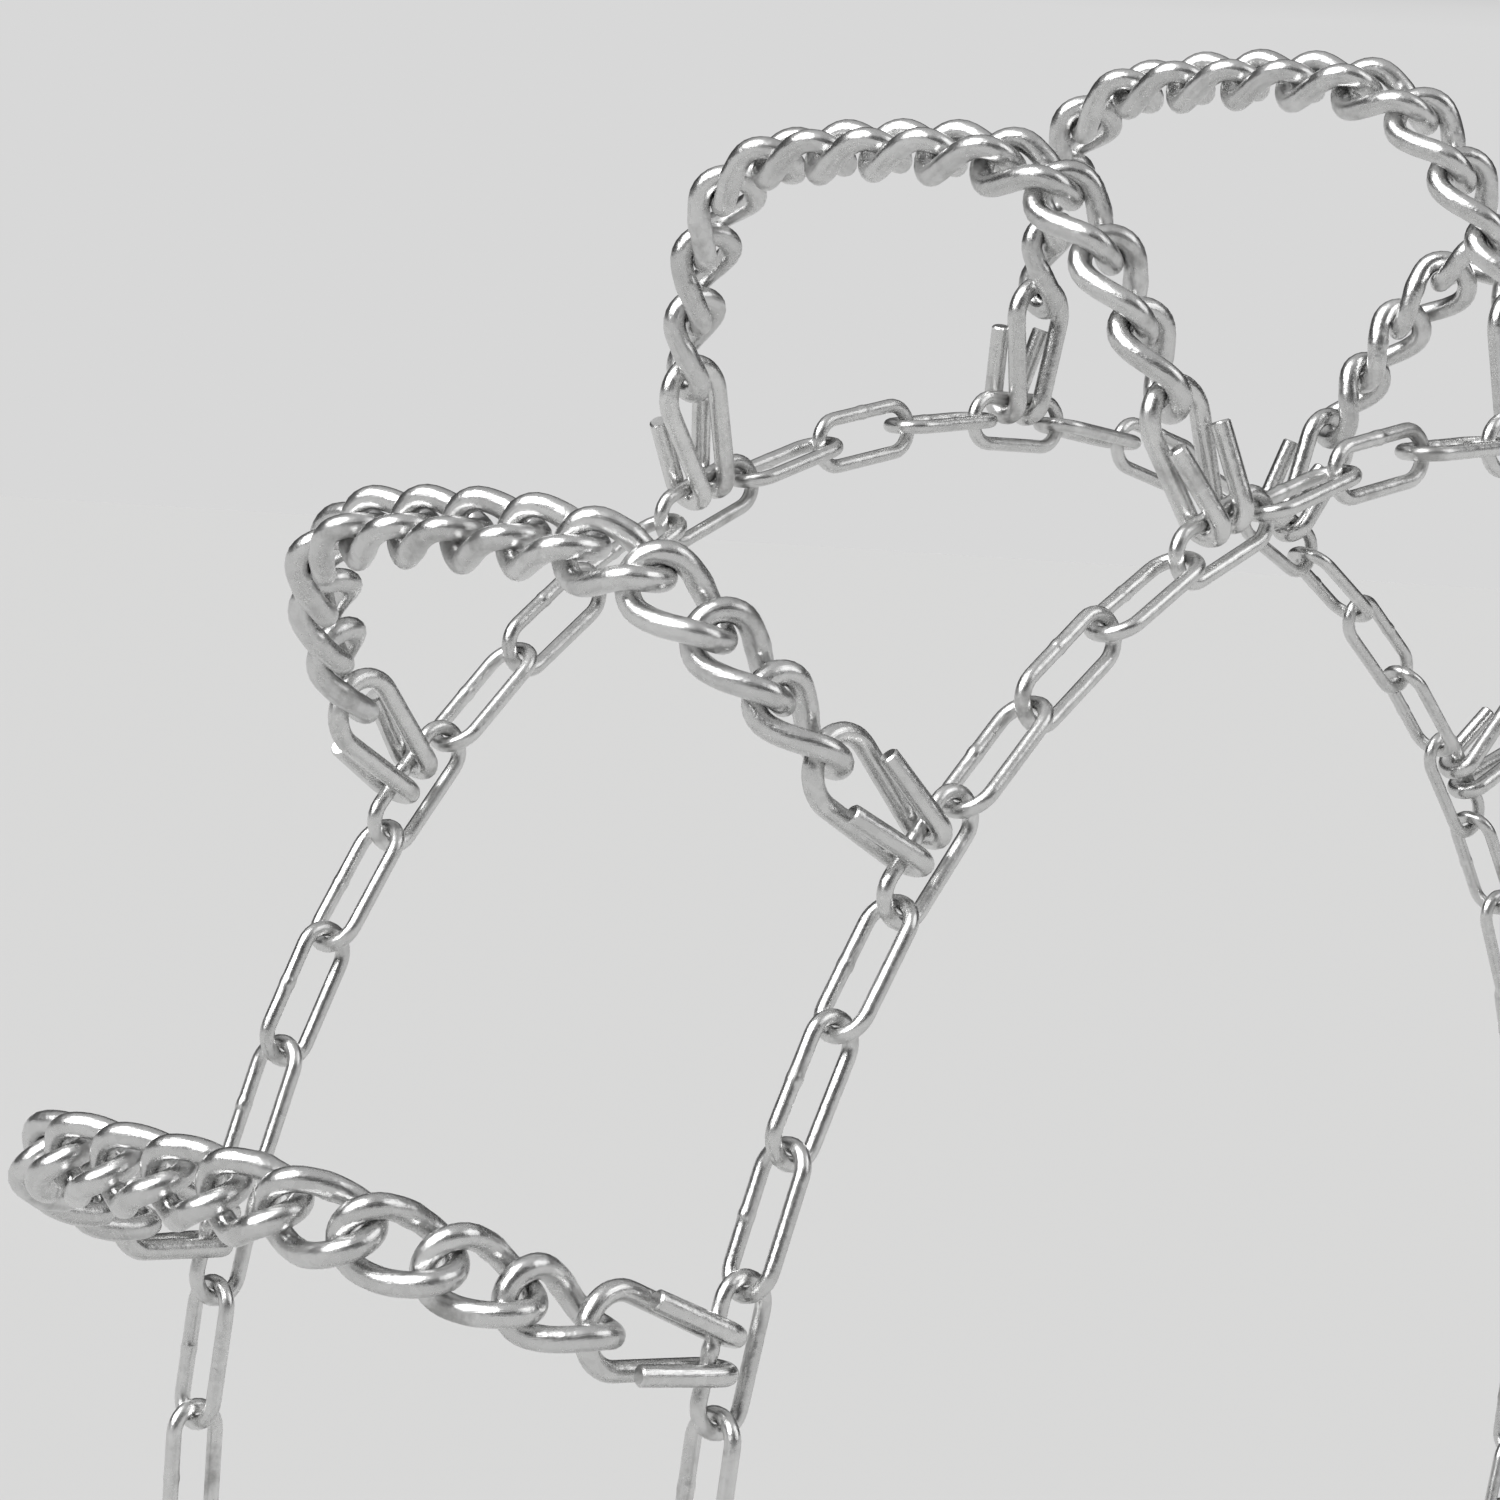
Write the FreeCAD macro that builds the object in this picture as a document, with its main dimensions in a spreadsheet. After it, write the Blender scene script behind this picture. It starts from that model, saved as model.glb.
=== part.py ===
"""Tire snow chain: a single ladder chain for a heavy truck tyre, laid round the tyre.

Fourteen equal sections stand around the wheel axle (the Y axis). Each section has four links of
the outer side chain, four links of the inner side chain, one cross chain of twisted links over
the tread, and the two wire hooks that hang the cross chain on the side chains. The section
opposite the first one carries the two fasteners, which are open: an over-centre lever with its
plates and rivets on the outer side, whose closing ring hangs from the next section's first link,
and a closing hook on the inner side, swung away from the tyre.

The origin is the middle of the wheel. Y runs along the axle, the outer side is at -Y, and the
first section's cross chain is at the top (+Z). Lengths are in millimetres, angles in degrees.
"""

import FreeCAD, Part
import math
import os

import Sketcher
from FreeCAD import Placement, Rotation, Vector

DIMENSIONS = [
    ("sections", 14, "cross chains around the tyre"),
    ("pitches", 4, "side chain pitches in each section"),
    ("tread_radius", 537, "radius of the cross chain's line at the middle of the tread"),
    ("side_wire", 5.6, "wire diameter of a side chain link"),
    ("side_width", 13.2, "inner width of a side chain link"),
    ("side_play", 0.4, "gap between two side chain links that pull on each other"),
    ("cross_wire", 8.6, "wire diameter of a cross chain link"),
    ("cross_width", 14, "inner width of a cross chain link"),
    ("cross_pitch", 28, "pitch of the cross chain"),
    ("cross_play", 1.4, "gap between two cross chain links"),
    ("cross_twist", -42, "turn of each end of a cross link out of its middle plane, right-handed"),
    ("drape_tread", 1.5, "slope of the first link beside the middle of the tread"),
    ("drape_rib", 5, "slope of the second link"),
    ("drape_edge", 22, "slope of the third link, at the tread's edge"),
    ("drape_shoulder", 52, "slope of the fourth link, over the shoulder"),
    ("drape_wall", 64, "slope of the fifth link, on the sidewall"),
    ("drape_last", 70, "slope of the sixth link, which hangs in the hook"),
    ("drape_hook", 87, "slope of the hook's legs"),
    ("roll_shoulder", -3, "turn of the fourth link about its own length, right-handed"),
    ("roll_wall", -17, "turn of the fifth link"),
    ("roll_last", -34, "turn of the sixth link, which brings its bow across the hook's U"),
    ("hook_wire", 7.5, "wire diameter of a cross chain hook"),
    ("hook_loop", 13, "radius of the hook's U, at the middle of the wire"),
    ("hook_spread", 10.2, "slant of each leg, which brings the prongs together"),
    ("hook_length", 47.5, "from the side link's wire to the top of the U"),
    ("hook_return", 29, "straight length of the wire bent back over the leg"),
    ("hook_closing", 10, "how far past a half turn the prong is bent"),
    ("hook_play", 0.4, "gap between the prong and the side link's wire"),
    ("plate_gap", 8.6, "space between the fastener's two plates"),
    ("plate_thickness", 3, "thickness of a fastener plate"),
    ("plate_radius", 6.5, "rounding of a plate's ends"),
    ("plate_lift", -0.5, "from the joint with the last link out to the plates' middle plane"),
    ("rivet_diameter", 6, "shank of a rivet"),
    ("rivet_fit", 0.04, "how much wider a plate's hole is than its rivet"),
    ("rivet_head", 10, "diameter of a rivet's head"),
    ("rivet_head_height", 1.8, "height of a rivet's head"),
    ("rivet_span", 21.2, "distance between the two rivets"),
    ("lever_thickness", 7.8, "thickness of the lever"),
    ("lever_hub", 7, "radius of the lever around its rivet"),
    ("lever_reach", 60, "length of the lever behind its rivet"),
    ("lever_rise", 14.4, "height of the lever's arm over the rivets"),
    ("lever_arm", 6, "depth of the lever's arm"),
    ("lever_neck", 5.5, "from the rivet back to the neck between hub and arm"),
    ("lever_tip", 4, "how far the arm's tip turns up"),
    ("lever_lip", 7, "length of the turned-up tip"),
    ("lever_bore", 6.16, "bore that turns on the rivet"),
    ("ring_wire", 6, "wire diameter of the closing ring"),
    ("ring_width", 22, "inner width of the closing ring"),
    ("ring_length", 35.9, "inner length of the closing ring"),
    ("ring_droop", 55, "turn of the open closing ring from the axle's direction away from the axle"),
    ("ring_inset", 3, "from the bow of the link it hangs on to the closing ring"),
    ("closing_wire", 6.5, "wire diameter of the inner closing hook"),
    ("closing_eye", 8, "radius of its eye, at the middle of the wire"),
    ("closing_bend", 7.5, "radius of its hook, at the middle of the wire"),
    ("closing_gap", 5, "where the eye's cut end stands, round the eye from the shank's direction"),
    ("closing_tip", 9, "straight length of the hook's tip"),
    ("closing_swing", 40, "turn of the open closing hook away from the tyre"),
]

LEANS = [-16.2, -6, 5, -4, 7, -3, 4, 0, -5, 6, 3, 9.8, 10, 9]
for number, lean in enumerate(LEANS):
    DIMENSIONS.append((f"lean_{number:02d}", lean, "sideways lean of this cross chain in its hooks"))

X = Vector(1, 0, 0)
Y = Vector(0, 1, 0)
Z = Vector(0, 0, 1)

doc = FreeCAD.newDocument("SnowChain")
sheet = doc.addObject("Spreadsheet::Sheet", "Dimensions")
for row, (alias, value, meaning) in enumerate(DIMENSIONS, start=1):
    sheet.set(f"A{row}", meaning)
    sheet.set(f"B{row}", str(value))
    sheet.setAlias(f"B{row}", alias)
doc.recompute()


def size(alias):
    """The value of one driving dimension."""
    return float(sheet.get(alias))


def origin_plane(body, role):
    for feature in body.Origin.OriginFeatures:
        if feature.Role == role:
            return feature


def sketch_on(body, role, name):
    sketch = body.newObject("Sketcher::SketchObject", name)
    sketch.AttachmentSupport = [(origin_plane(body, role), "")]
    sketch.MapMode = "FlatFace"
    return sketch


def bind(sketch, constraint, name, expression):
    """Adds a constraint and ties it to the spreadsheet."""
    number = sketch.addConstraint(constraint)
    sketch.renameConstraint(number, name)
    sketch.setExpression(f"Constraints.{name}", expression)


# ---------------------------------------------------------------------------------------------
# Links and rings of round wire
# ---------------------------------------------------------------------------------------------

def oval_link(name, wire, width, length):
    """An oval link in its XY plane, long axis along X. The three sizes are expressions."""
    body = doc.addObject("PartDesign::Body", name)
    path = sketch_on(body, "XY_Plane", name + "Path")
    bend = 10.0
    straight = 12.0
    start = Vector(0, bend, 0)
    path.addGeometry([
        Part.LineSegment(start, Vector(straight, bend, 0)),
        Part.ArcOfCircle(Part.Circle(Vector(straight, 0, 0), Z, bend), -math.pi / 2, math.pi / 2),
        Part.LineSegment(Vector(straight, -bend, 0), Vector(-straight, -bend, 0)),
        Part.ArcOfCircle(Part.Circle(Vector(-straight, 0, 0), Z, bend), math.pi / 2, 1.5 * math.pi),
        Part.LineSegment(Vector(-straight, bend, 0), start),
    ], False)
    for first, first_end, second, second_end in ((0, 2, 1, 2), (1, 1, 2, 1), (2, 2, 3, 2), (3, 1, 4, 1)):
        path.addConstraint(Sketcher.Constraint("Tangent", first, first_end, second, second_end))
    path.addConstraint(Sketcher.Constraint("Coincident", 4, 2, 0, 1))
    path.addConstraint(Sketcher.Constraint("Horizontal", 0))
    path.addConstraint(Sketcher.Constraint("Horizontal", 2))
    path.addConstraint(Sketcher.Constraint("PointOnObject", 0, 1, -2))
    path.addConstraint(Sketcher.Constraint("PointOnObject", 1, 3, -1))
    path.addConstraint(Sketcher.Constraint("PointOnObject", 3, 3, -1))
    bend_size = f"({width} + {wire}) / 2"
    straight_size = f"({length} - {width}) / 2"
    bind(path, Sketcher.Constraint("Radius", 1, bend), "bend", bend_size)
    bind(path, Sketcher.Constraint("DistanceX", -1, 1, 1, 3, straight), "right", straight_size)
    bind(path, Sketcher.Constraint("DistanceX", 3, 3, -1, 1, straight), "left", straight_size)
    section = sketch_on(body, "YZ_Plane", name + "Section")
    section.addGeometry(Part.Circle(Vector(bend, 0, 0), Z, 3), False)
    section.addConstraint(Sketcher.Constraint("PointOnObject", 0, 3, -1))
    bind(section, Sketcher.Constraint("DistanceX", -1, 1, 0, 3, bend), "offset", bend_size)
    bind(section, Sketcher.Constraint("Diameter", 0, 6), "wire", wire)
    doc.recompute()
    pipe = body.newObject("PartDesign::AdditivePipe", name + "Pipe")
    pipe.Profile = (section, [""])
    pipe.Spine = (path, [""])
    return body


def bent_edge(start, corner, end):
    """The tangent arc from start to end that rounds off their corner."""
    turn = (corner - start).getAngle(end - corner)
    if turn < 1e-3:
        return Part.LineSegment(start, end).toShape()
    radius = (corner - start).Length / math.tan(turn / 2)
    inward = ((start + end) * 0.5 - corner).normalize()
    middle = corner + inward * (radius * (1 / math.cos(turn / 2) - 1))
    return Part.Arc(start, middle, end).toShape()


def two_arcs(start, start_way, end, end_way):
    """Two tangent arcs that leave start along start_way and reach end along end_way."""
    chord = end - start
    ways = start_way + end_way
    square = ways.dot(ways) - 4
    linear = -2 * chord.dot(ways)
    root = math.sqrt(linear ** 2 - 4 * square * chord.dot(chord))
    reach = max((-linear + root) / (2 * square), (-linear - root) / (2 * square))
    first = start + start_way * reach
    second = end - end_way * reach
    middle = (first + second) * 0.5
    return [bent_edge(start, first, middle), bent_edge(middle, second, end)]


def round_bar(name, edges, wire):
    """Sweeps round wire along edges that meet tangentially. The wire diameter is an expression."""
    spine = doc.addObject("Part::Feature", name + "Spine")
    spine.Shape = Part.Wire(edges)
    first = edges[0]
    way = first.tangentAt(first.FirstParameter)
    section = doc.addObject("Part::Circle", name + "Section")
    section.setExpression("Radius", f"{wire} / 2")
    section.Placement = Placement(first.valueAt(first.FirstParameter), Rotation(Z, way))
    bar = doc.addObject("Part::Sweep", name)
    bar.Sections = [section]
    bar.Spine = (spine, [f"Edge{number + 1}" for number in range(len(edges))])
    bar.Solid = True
    return bar


def twisted_line(bow, half_straight, distance):
    """A point of a twisted link's line and the way along it.

    The line is an oval of the given bow radius, turned about X more and more towards its ends.
    """
    half_length = half_straight + bow
    arc = math.pi * bow
    if distance < half_straight:
        x, y, x_way, y_way = distance, bow, 1, 0
    elif distance < half_straight + arc:
        angle = (distance - half_straight) / bow
        x, y = half_straight + bow * math.sin(angle), bow * math.cos(angle)
        x_way, y_way = math.cos(angle), -math.sin(angle)
    else:
        x, y, x_way, y_way = 2 * half_straight + arc - distance, -bow, -1, 0
    full_turn = math.radians(size("cross_twist"))
    phase = math.pi / 2 * x / half_length
    turn = full_turn * math.sin(phase)
    turn_way = full_turn * math.cos(phase) * math.pi / 2 / half_length * x_way
    point = Vector(x, y * math.cos(turn), y * math.sin(turn))
    way = Vector(
        x_way,
        y_way * math.cos(turn) - point.z * turn_way,
        y_way * math.sin(turn) + point.y * turn_way)
    return point, way.normalize()


def twisted_link(name):
    """A cross chain link, long axis along X, its two bows turned opposite ways out of XY."""
    bow = (size("cross_width") + size("cross_wire")) / 2
    half_length = (size("cross_pitch") + size("cross_play") + size("cross_wire")) / 2
    half_straight = half_length - bow
    half_line = 2 * half_straight + math.pi * bow
    stations = [twisted_line(bow, half_straight, half_line * part / 4) for part in range(5)]
    edges = []
    for number in range(4):
        edges += two_arcs(*stations[number], *stations[number + 1])
    right = round_bar(name + "Right", edges, "Dimensions.cross_wire")
    half_turn = Placement(Vector(), Rotation(Z, 180))
    left_edges = [edge.transformed(half_turn.Matrix) for edge in edges]
    left = round_bar(name + "Left", left_edges, "Dimensions.cross_wire")
    link = doc.addObject("Part::Fuse", name)
    link.Base = right
    link.Tool = left
    link.Refine = True
    return link


def hook_half():
    """The line of one prong, from the cut end to the top of the U, for the prong at +X.

    The side link's wire runs along X through the origin, +Y goes from it to the U, and +Z
    points away from the tyre.
    """
    spread = math.radians(size("hook_spread"))
    loop = size("hook_loop")
    wrap = (size("hook_wire") + size("side_wire")) / 2 + size("hook_play")
    loop_centre = Vector(0, size("hook_length") - loop, -wrap)
    leg_way = Vector(math.sin(spread), math.cos(spread), 0)
    leg_side = Vector(math.cos(spread), -math.sin(spread), 0)
    leg_top = loop_centre + leg_side * loop
    foot = Vector((loop - loop_centre.y * math.sin(spread)) / math.cos(spread), 0, 0)
    leg_foot = foot - Z * wrap
    past = math.radians(size("hook_closing"))
    bend_end_way = leg_way * math.cos(past) - Z * math.sin(past)
    bend_end = foot + (leg_way * math.sin(past) + Z * math.cos(past)) * wrap
    half_bend = (math.pi + past) / 2
    bend_middle = foot + (leg_way * -math.sin(half_bend) - Z * math.cos(half_bend)) * wrap
    cut_end = bend_end + bend_end_way * size("hook_return")
    quarter = (leg_side + Y).normalize() * loop
    return [
        Part.LineSegment(cut_end, bend_end).toShape(),
        Part.Arc(bend_end, bend_middle, leg_foot).toShape(),
        Part.LineSegment(leg_foot, leg_top).toShape(),
        Part.Arc(leg_top, loop_centre + quarter, loop_centre + Y * loop).toShape(),
    ]


def cross_hook(name):
    """The hook that hangs a cross chain on a side link: a U whose two legs end in prongs."""
    right = round_bar(name + "Right", hook_half(), "Dimensions.hook_wire")
    left = doc.addObject("Part::Mirroring", name + "Left")
    left.Source = right
    left.Normal = X
    hook = doc.addObject("Part::Fuse", name)
    hook.Base = right
    hook.Tool = left
    hook.Refine = True
    return hook


def closing_hook(name, pitch):
    """The inner side's closing hook in its XY plane: an eye at X = 0, a hook one pitch further."""
    wire = size("closing_wire")
    seat = (wire + size("side_play")) / 2
    eye = size("closing_eye")
    bend = size("closing_bend")
    eye_centre = Vector(eye - seat, 0, 0)
    bend_centre = Vector(pitch + seat - bend, eye - bend, 0)
    gap = math.radians(size("closing_gap"))
    start = eye_centre + Vector(math.cos(gap), math.sin(gap), 0) * eye
    half_way = (gap - 1.5 * math.pi) / 2
    eye_middle = eye_centre + Vector(math.cos(half_way), math.sin(half_way), 0) * eye
    shank_start = eye_centre + Y * eye
    shank_end = bend_centre + Y * bend
    bend_end = bend_centre - Y * bend
    edges = [
        Part.Arc(start, eye_middle, shank_start).toShape(),
        Part.LineSegment(shank_start, shank_end).toShape(),
        Part.Arc(shank_end, bend_centre + X * bend, bend_end).toShape(),
        Part.LineSegment(bend_end, bend_end - X * size("closing_tip")).toShape(),
    ]
    return round_bar(name, edges, "Dimensions.closing_wire")


# ---------------------------------------------------------------------------------------------
# Plates, rivets and lever of the outer fastener, in the fastener's XY plane
# ---------------------------------------------------------------------------------------------

def fastener_plate(name):
    """A plate with round ends and two rivet holes, the first at the origin, the second at +X."""
    body = doc.addObject("PartDesign::Body", name)
    sketch = sketch_on(body, "XY_Plane", name + "Outline")
    radius = 6.0
    span = 20.0
    sketch.addGeometry([
        Part.LineSegment(Vector(0, radius, 0), Vector(span, radius, 0)),
        Part.ArcOfCircle(Part.Circle(Vector(span, 0, 0), Z, radius), -math.pi / 2, math.pi / 2),
        Part.LineSegment(Vector(span, -radius, 0), Vector(0, -radius, 0)),
        Part.ArcOfCircle(Part.Circle(Vector(), Z, radius), math.pi / 2, 1.5 * math.pi),
        Part.Circle(Vector(), Z, 3),
        Part.Circle(Vector(span, 0, 0), Z, 3),
    ], False)
    for first, first_end, second, second_end in ((0, 2, 1, 2), (1, 1, 2, 1), (2, 2, 3, 2), (3, 1, 0, 1)):
        sketch.addConstraint(Sketcher.Constraint("Tangent", first, first_end, second, second_end))
    sketch.addConstraint(Sketcher.Constraint("Coincident", 3, 3, -1, 1))
    sketch.addConstraint(Sketcher.Constraint("PointOnObject", 1, 3, -1))
    sketch.addConstraint(Sketcher.Constraint("Coincident", 4, 3, -1, 1))
    sketch.addConstraint(Sketcher.Constraint("Coincident", 5, 3, 1, 3))
    sketch.addConstraint(Sketcher.Constraint("Equal", 4, 5))
    bind(sketch, Sketcher.Constraint("Radius", 3, radius), "round_end", "Dimensions.plate_radius")
    bind(sketch, Sketcher.Constraint("DistanceX", -1, 1, 1, 3, span), "span", "Dimensions.rivet_span")
    hole = "Dimensions.rivet_diameter + Dimensions.rivet_fit"
    bind(sketch, Sketcher.Constraint("Diameter", 4, 6), "bore", hole)
    pad = body.newObject("PartDesign::Pad", name + "Pad")
    pad.Profile = sketch
    pad.setExpression("Length", "Dimensions.plate_thickness")
    return body


def rivet(name):
    """A rivet along Z, its shank centred on the origin, one head beyond each plate."""
    body = doc.addObject("PartDesign::Body", name)
    sketch = sketch_on(body, "XZ_Plane", name + "Profile")
    corners = [(0, -9), (5, -9), (5, -7), (3, -7), (3, 7), (5, 7), (5, 9), (0, 9)]
    count = len(corners)
    for number in range(count):
        start = Vector(*corners[number], 0)
        end = Vector(*corners[(number + 1) % count], 0)
        sketch.addGeometry(Part.LineSegment(start, end), False)
    for number in range(count):
        sketch.addConstraint(Sketcher.Constraint("Coincident", number, 2, (number + 1) % count, 1))
    for number in range(count):
        kind = "Vertical" if number % 2 else "Horizontal"
        sketch.addConstraint(Sketcher.Constraint(kind, number))
    sketch.addConstraint(Sketcher.Constraint("PointOnObject", 0, 1, -2))
    sketch.addConstraint(Sketcher.Constraint("Equal", 0, 6))
    sketch.addConstraint(Sketcher.Constraint("Equal", 1, 5))
    head = "Dimensions.rivet_head / 2"
    shank = "Dimensions.rivet_diameter / 2"
    height = "Dimensions.rivet_head_height"
    grip = "Dimensions.plate_gap + 2 * Dimensions.plate_thickness"
    bind(sketch, Sketcher.Constraint("DistanceX", 0, 1, 0, 2, 5), "head", head)
    bind(sketch, Sketcher.Constraint("DistanceX", 0, 1, 3, 1, 3), "shank", shank)
    bind(sketch, Sketcher.Constraint("DistanceY", 1, 1, 1, 2, 2), "height", height)
    bind(sketch, Sketcher.Constraint("DistanceY", 3, 1, 3, 2, 14), "grip", grip)
    bind(sketch, Sketcher.Constraint("DistanceY", -1, 1, 3, 2, 7), "half_grip", f"({grip}) / 2")
    turned = body.newObject("PartDesign::Revolution", name + "Turned")
    turned.Profile = sketch
    turned.ReferenceAxis = (sketch, ["V_Axis"])
    turned.Angle = 360
    return body


def lever_outline():
    """The lever's outline around its rivet at the origin: hub, neck and arm. -Y is outward."""
    hub = size("lever_hub")
    rise = size("lever_rise")
    depth = size("lever_arm")
    reach = size("lever_reach")
    neck = size("lever_neck")
    tip_lift = size("lever_tip")
    lip = size("lever_lip")
    top = rise + depth
    shoulder = top - hub
    under_start = Vector(-neck, -rise, 0)
    hub_left = Vector(-neck, -math.sqrt(hub ** 2 - neck ** 2), 0)
    tip_under = Vector(-reach + lip, -rise, 0)
    tip_end = Vector(-reach, -rise - tip_lift, 0)
    tip_back = Vector(-reach + depth / 3, -rise - tip_lift - depth / 2, 0)
    tip_top = Vector(-reach + lip + depth / 2, -top, 0)
    back_top = Vector(0, -top, 0)
    hub_right = Vector(hub, 0, 0)
    side_top = Vector(hub, -shoulder, 0)
    corner = hub / math.sqrt(2)
    corner_middle = Vector(corner, -shoulder - corner, 0)
    return [
        Part.LineSegment(hub_left, under_start),
        Part.LineSegment(under_start, tip_under),
        Part.LineSegment(tip_under, tip_end),
        Part.LineSegment(tip_end, tip_back),
        Part.LineSegment(tip_back, tip_top),
        Part.LineSegment(tip_top, back_top),
        Part.Arc(back_top, corner_middle, side_top),
        Part.LineSegment(side_top, hub_right),
        Part.Arc(hub_right, Vector(0, hub, 0), hub_left),
    ]


def fastener_lever(name):
    """The over-centre lever: a flat bar cut to the outline, half its thickness each side of XY."""
    body = doc.addObject("PartDesign::Body", name)
    sketch = sketch_on(body, "XY_Plane", name + "Outline")
    sketch.addGeometry(lever_outline(), False)
    sketch.addGeometry(Part.Circle(Vector(), Z, 3), False)
    bore = 9
    for number in range(bore):
        sketch.addConstraint(Sketcher.Constraint("Block", number))
    sketch.addConstraint(Sketcher.Constraint("Coincident", bore, 3, -1, 1))
    bind(sketch, Sketcher.Constraint("Diameter", bore, 6), "bore", "Dimensions.lever_bore")
    pad = body.newObject("PartDesign::Pad", name + "Pad")
    pad.Profile = sketch
    pad.Midplane = True
    pad.setExpression("Length", "Dimensions.lever_thickness")
    return body


# ---------------------------------------------------------------------------------------------
# Where everything sits in one section, whose cross chain stands at the top
# ---------------------------------------------------------------------------------------------

sections = int(size("sections"))
pitches = int(size("pitches"))
section_angle = 360 / sections
pitch_angle = section_angle / pitches
side_wrap = (size("hook_wire") + size("side_wire")) / 2 + size("hook_play")
side_half_width = (size("side_width") + size("side_wire")) / 2

slopes = [size("drape_" + place) for place in ("tread", "rib", "edge", "shoulder", "wall", "last")]
rolls = [0, 0, 0] + [size("roll_" + place) for place in ("shoulder", "wall", "last")]


def slope_way(slope):
    """The direction down the outer side (towards -Y) at a slope from the axle's direction."""
    angle = math.radians(slope)
    return Vector(0, -math.cos(angle), -math.sin(angle))


cross_joints = [Vector(0, 0, size("tread_radius"))]
for slope in slopes:
    cross_joints.append(cross_joints[-1] + slope_way(slope) * size("cross_pitch"))

hook_way = slope_way(size("drape_hook"))
hook_outward = Vector(0, hook_way.z, -hook_way.y)
loop_seat = (size("hook_wire") + size("cross_play")) / 2
wrap_centre = cross_joints[-1] + hook_way * (size("hook_length") - loop_seat) + hook_outward * side_wrap

side_y = wrap_centre.y
link_radius = wrap_centre.z - side_half_width
joint_radius = link_radius / math.cos(math.radians(pitch_angle / 2))
side_pitch = 2 * joint_radius * math.sin(math.radians(pitch_angle / 2))


def on_ring(radius, y, angle):
    """A point on the side chain's ring, at an angle from the top towards +X."""
    turn = math.radians(angle)
    return Vector(radius * math.sin(turn), y, radius * math.cos(turn))


def side_link_place(number, y):
    """Link number 0 is flat on the sidewall and carries the hook; every other link stands up."""
    angle = number * pitch_angle
    turn = Rotation(Y, angle)
    if number % 2 == 0:
        turn = turn.multiply(Rotation(X, 90))
    return Placement(on_ring(link_radius, y, angle), turn)


def cross_link_places():
    """Six links down to each side from the middle of the tread."""
    places = []
    for side in (-1, 1):
        for number, (slope, roll) in enumerate(zip(slopes, rolls)):
            start = cross_joints[number]
            centre = (start + cross_joints[number + 1]) * 0.5
            way = slope_way(slope)
            outward = Vector(0, way.z, -way.y)
            if side == 1:
                centre = Vector(0, -centre.y, centre.z)
                way = Vector(0, -way.y, way.z)
                outward = Vector(0, -outward.y, outward.z)
            turn = Rotation(way, outward.cross(way), outward, "ZXY").multiply(Rotation(X, roll))
            places.append(Placement(centre, turn))
    return places


def hook_place(side):
    """The hook on the outer side (-1) or the inner side (1)."""
    back = Vector(0, hook_way.y * -1, hook_way.z * -1)
    outward = hook_outward
    centre = wrap_centre
    if side == 1:
        back = Vector(0, -back.y, back.z)
        outward = Vector(0, -outward.y, outward.z)
        centre = Vector(0, -centre.y, centre.z)
    return Placement(centre, Rotation(back.cross(outward), back, outward, "ZXY"))


# ---------------------------------------------------------------------------------------------
# The pieces' shapes, once each
# ---------------------------------------------------------------------------------------------

pitch_row = len(DIMENSIONS) + 1
sheet.set(f"A{pitch_row}", "pitch of the side chain, from the cross chain's drape and the sections")
sheet.set(f"B{pitch_row}", f"{side_pitch:.6f}")
sheet.setAlias(f"B{pitch_row}", "side_pitch")
doc.recompute()

side_link = oval_link(
    "SideLink", "Dimensions.side_wire", "Dimensions.side_width",
    "(Dimensions.side_pitch + Dimensions.side_play)")
closing_ring = oval_link(
    "ClosingRing", "Dimensions.ring_wire", "Dimensions.ring_width", "Dimensions.ring_length")
cross_link = twisted_link("CrossLink")
hook = cross_hook("CrossHook")
inner_hook = closing_hook("ClosingHook", side_pitch)
plate = fastener_plate("FastenerPlate")
pin = rivet("FastenerRivet")
lever = fastener_lever("FastenerLever")
doc.recompute()


def placed(source, place):
    """A link to one of the shapes above, at its place in a section."""
    copy = doc.addObject("App::Link", source.Name + "At")
    copy.setLink(source)
    copy.Placement = place
    return copy


def node(label, pieces, section=0, lean=0):
    """A node: pieces of one section, turned about the axle to that section's place.

    lean first turns them about the line through the two hooks' loops, along the axle.
    """
    loops = Vector(0, 0, cross_joints[-1].z)
    group = doc.addObject("Part::Compound", label)
    group.Label = label
    group.Links = pieces
    leaned = Placement(Vector(), Rotation(Y, lean), loops)
    group.Placement = Placement(Vector(), Rotation(Y, section * section_angle)).multiply(leaned)
    return group


# ---------------------------------------------------------------------------------------------
# The fastener's own frame, in the section that carries it
# ---------------------------------------------------------------------------------------------

fastener_section = sections // 2
bar_turn = Rotation(Y, 2.5 * pitch_angle)
bar_origin = on_ring(joint_radius, side_y, 1.5 * pitch_angle)
plate_lift = size("plate_lift")
wire_past_joint = (size("side_play") + size("side_wire")) / 2
first_rivet_x = wire_past_joint - size("side_play") - (size("side_wire") + size("rivet_diameter")) / 2
lever_rivet_x = first_rivet_x + size("rivet_span")


def fastener_place(x, y, z):
    """x along the chain from the last link before the fastener, -y outward, z away from the axle."""
    return Placement(bar_origin + bar_turn.multVec(Vector(x, y, z)), bar_turn)


def ring_place():
    """The open closing ring, hanging off the outer leg of the link before the section's first."""
    half_straight = (side_pitch + size("side_play") - size("side_width")) / 2
    seat = Vector(size("ring_inset") - half_straight, -side_half_width, 0)
    droop = math.radians(size("ring_droop"))
    hanging = Vector(0, -math.cos(droop), math.sin(droop))
    across = Vector(0, math.sin(droop), math.cos(droop))
    reach = (size("ring_length") - size("side_wire")) / 2 - size("side_play")
    centre = seat + hanging * reach
    return side_link_place(-1, side_y).multiply(
        Placement(centre, Rotation(hanging, across, hanging.cross(across), "ZXY")))


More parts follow.
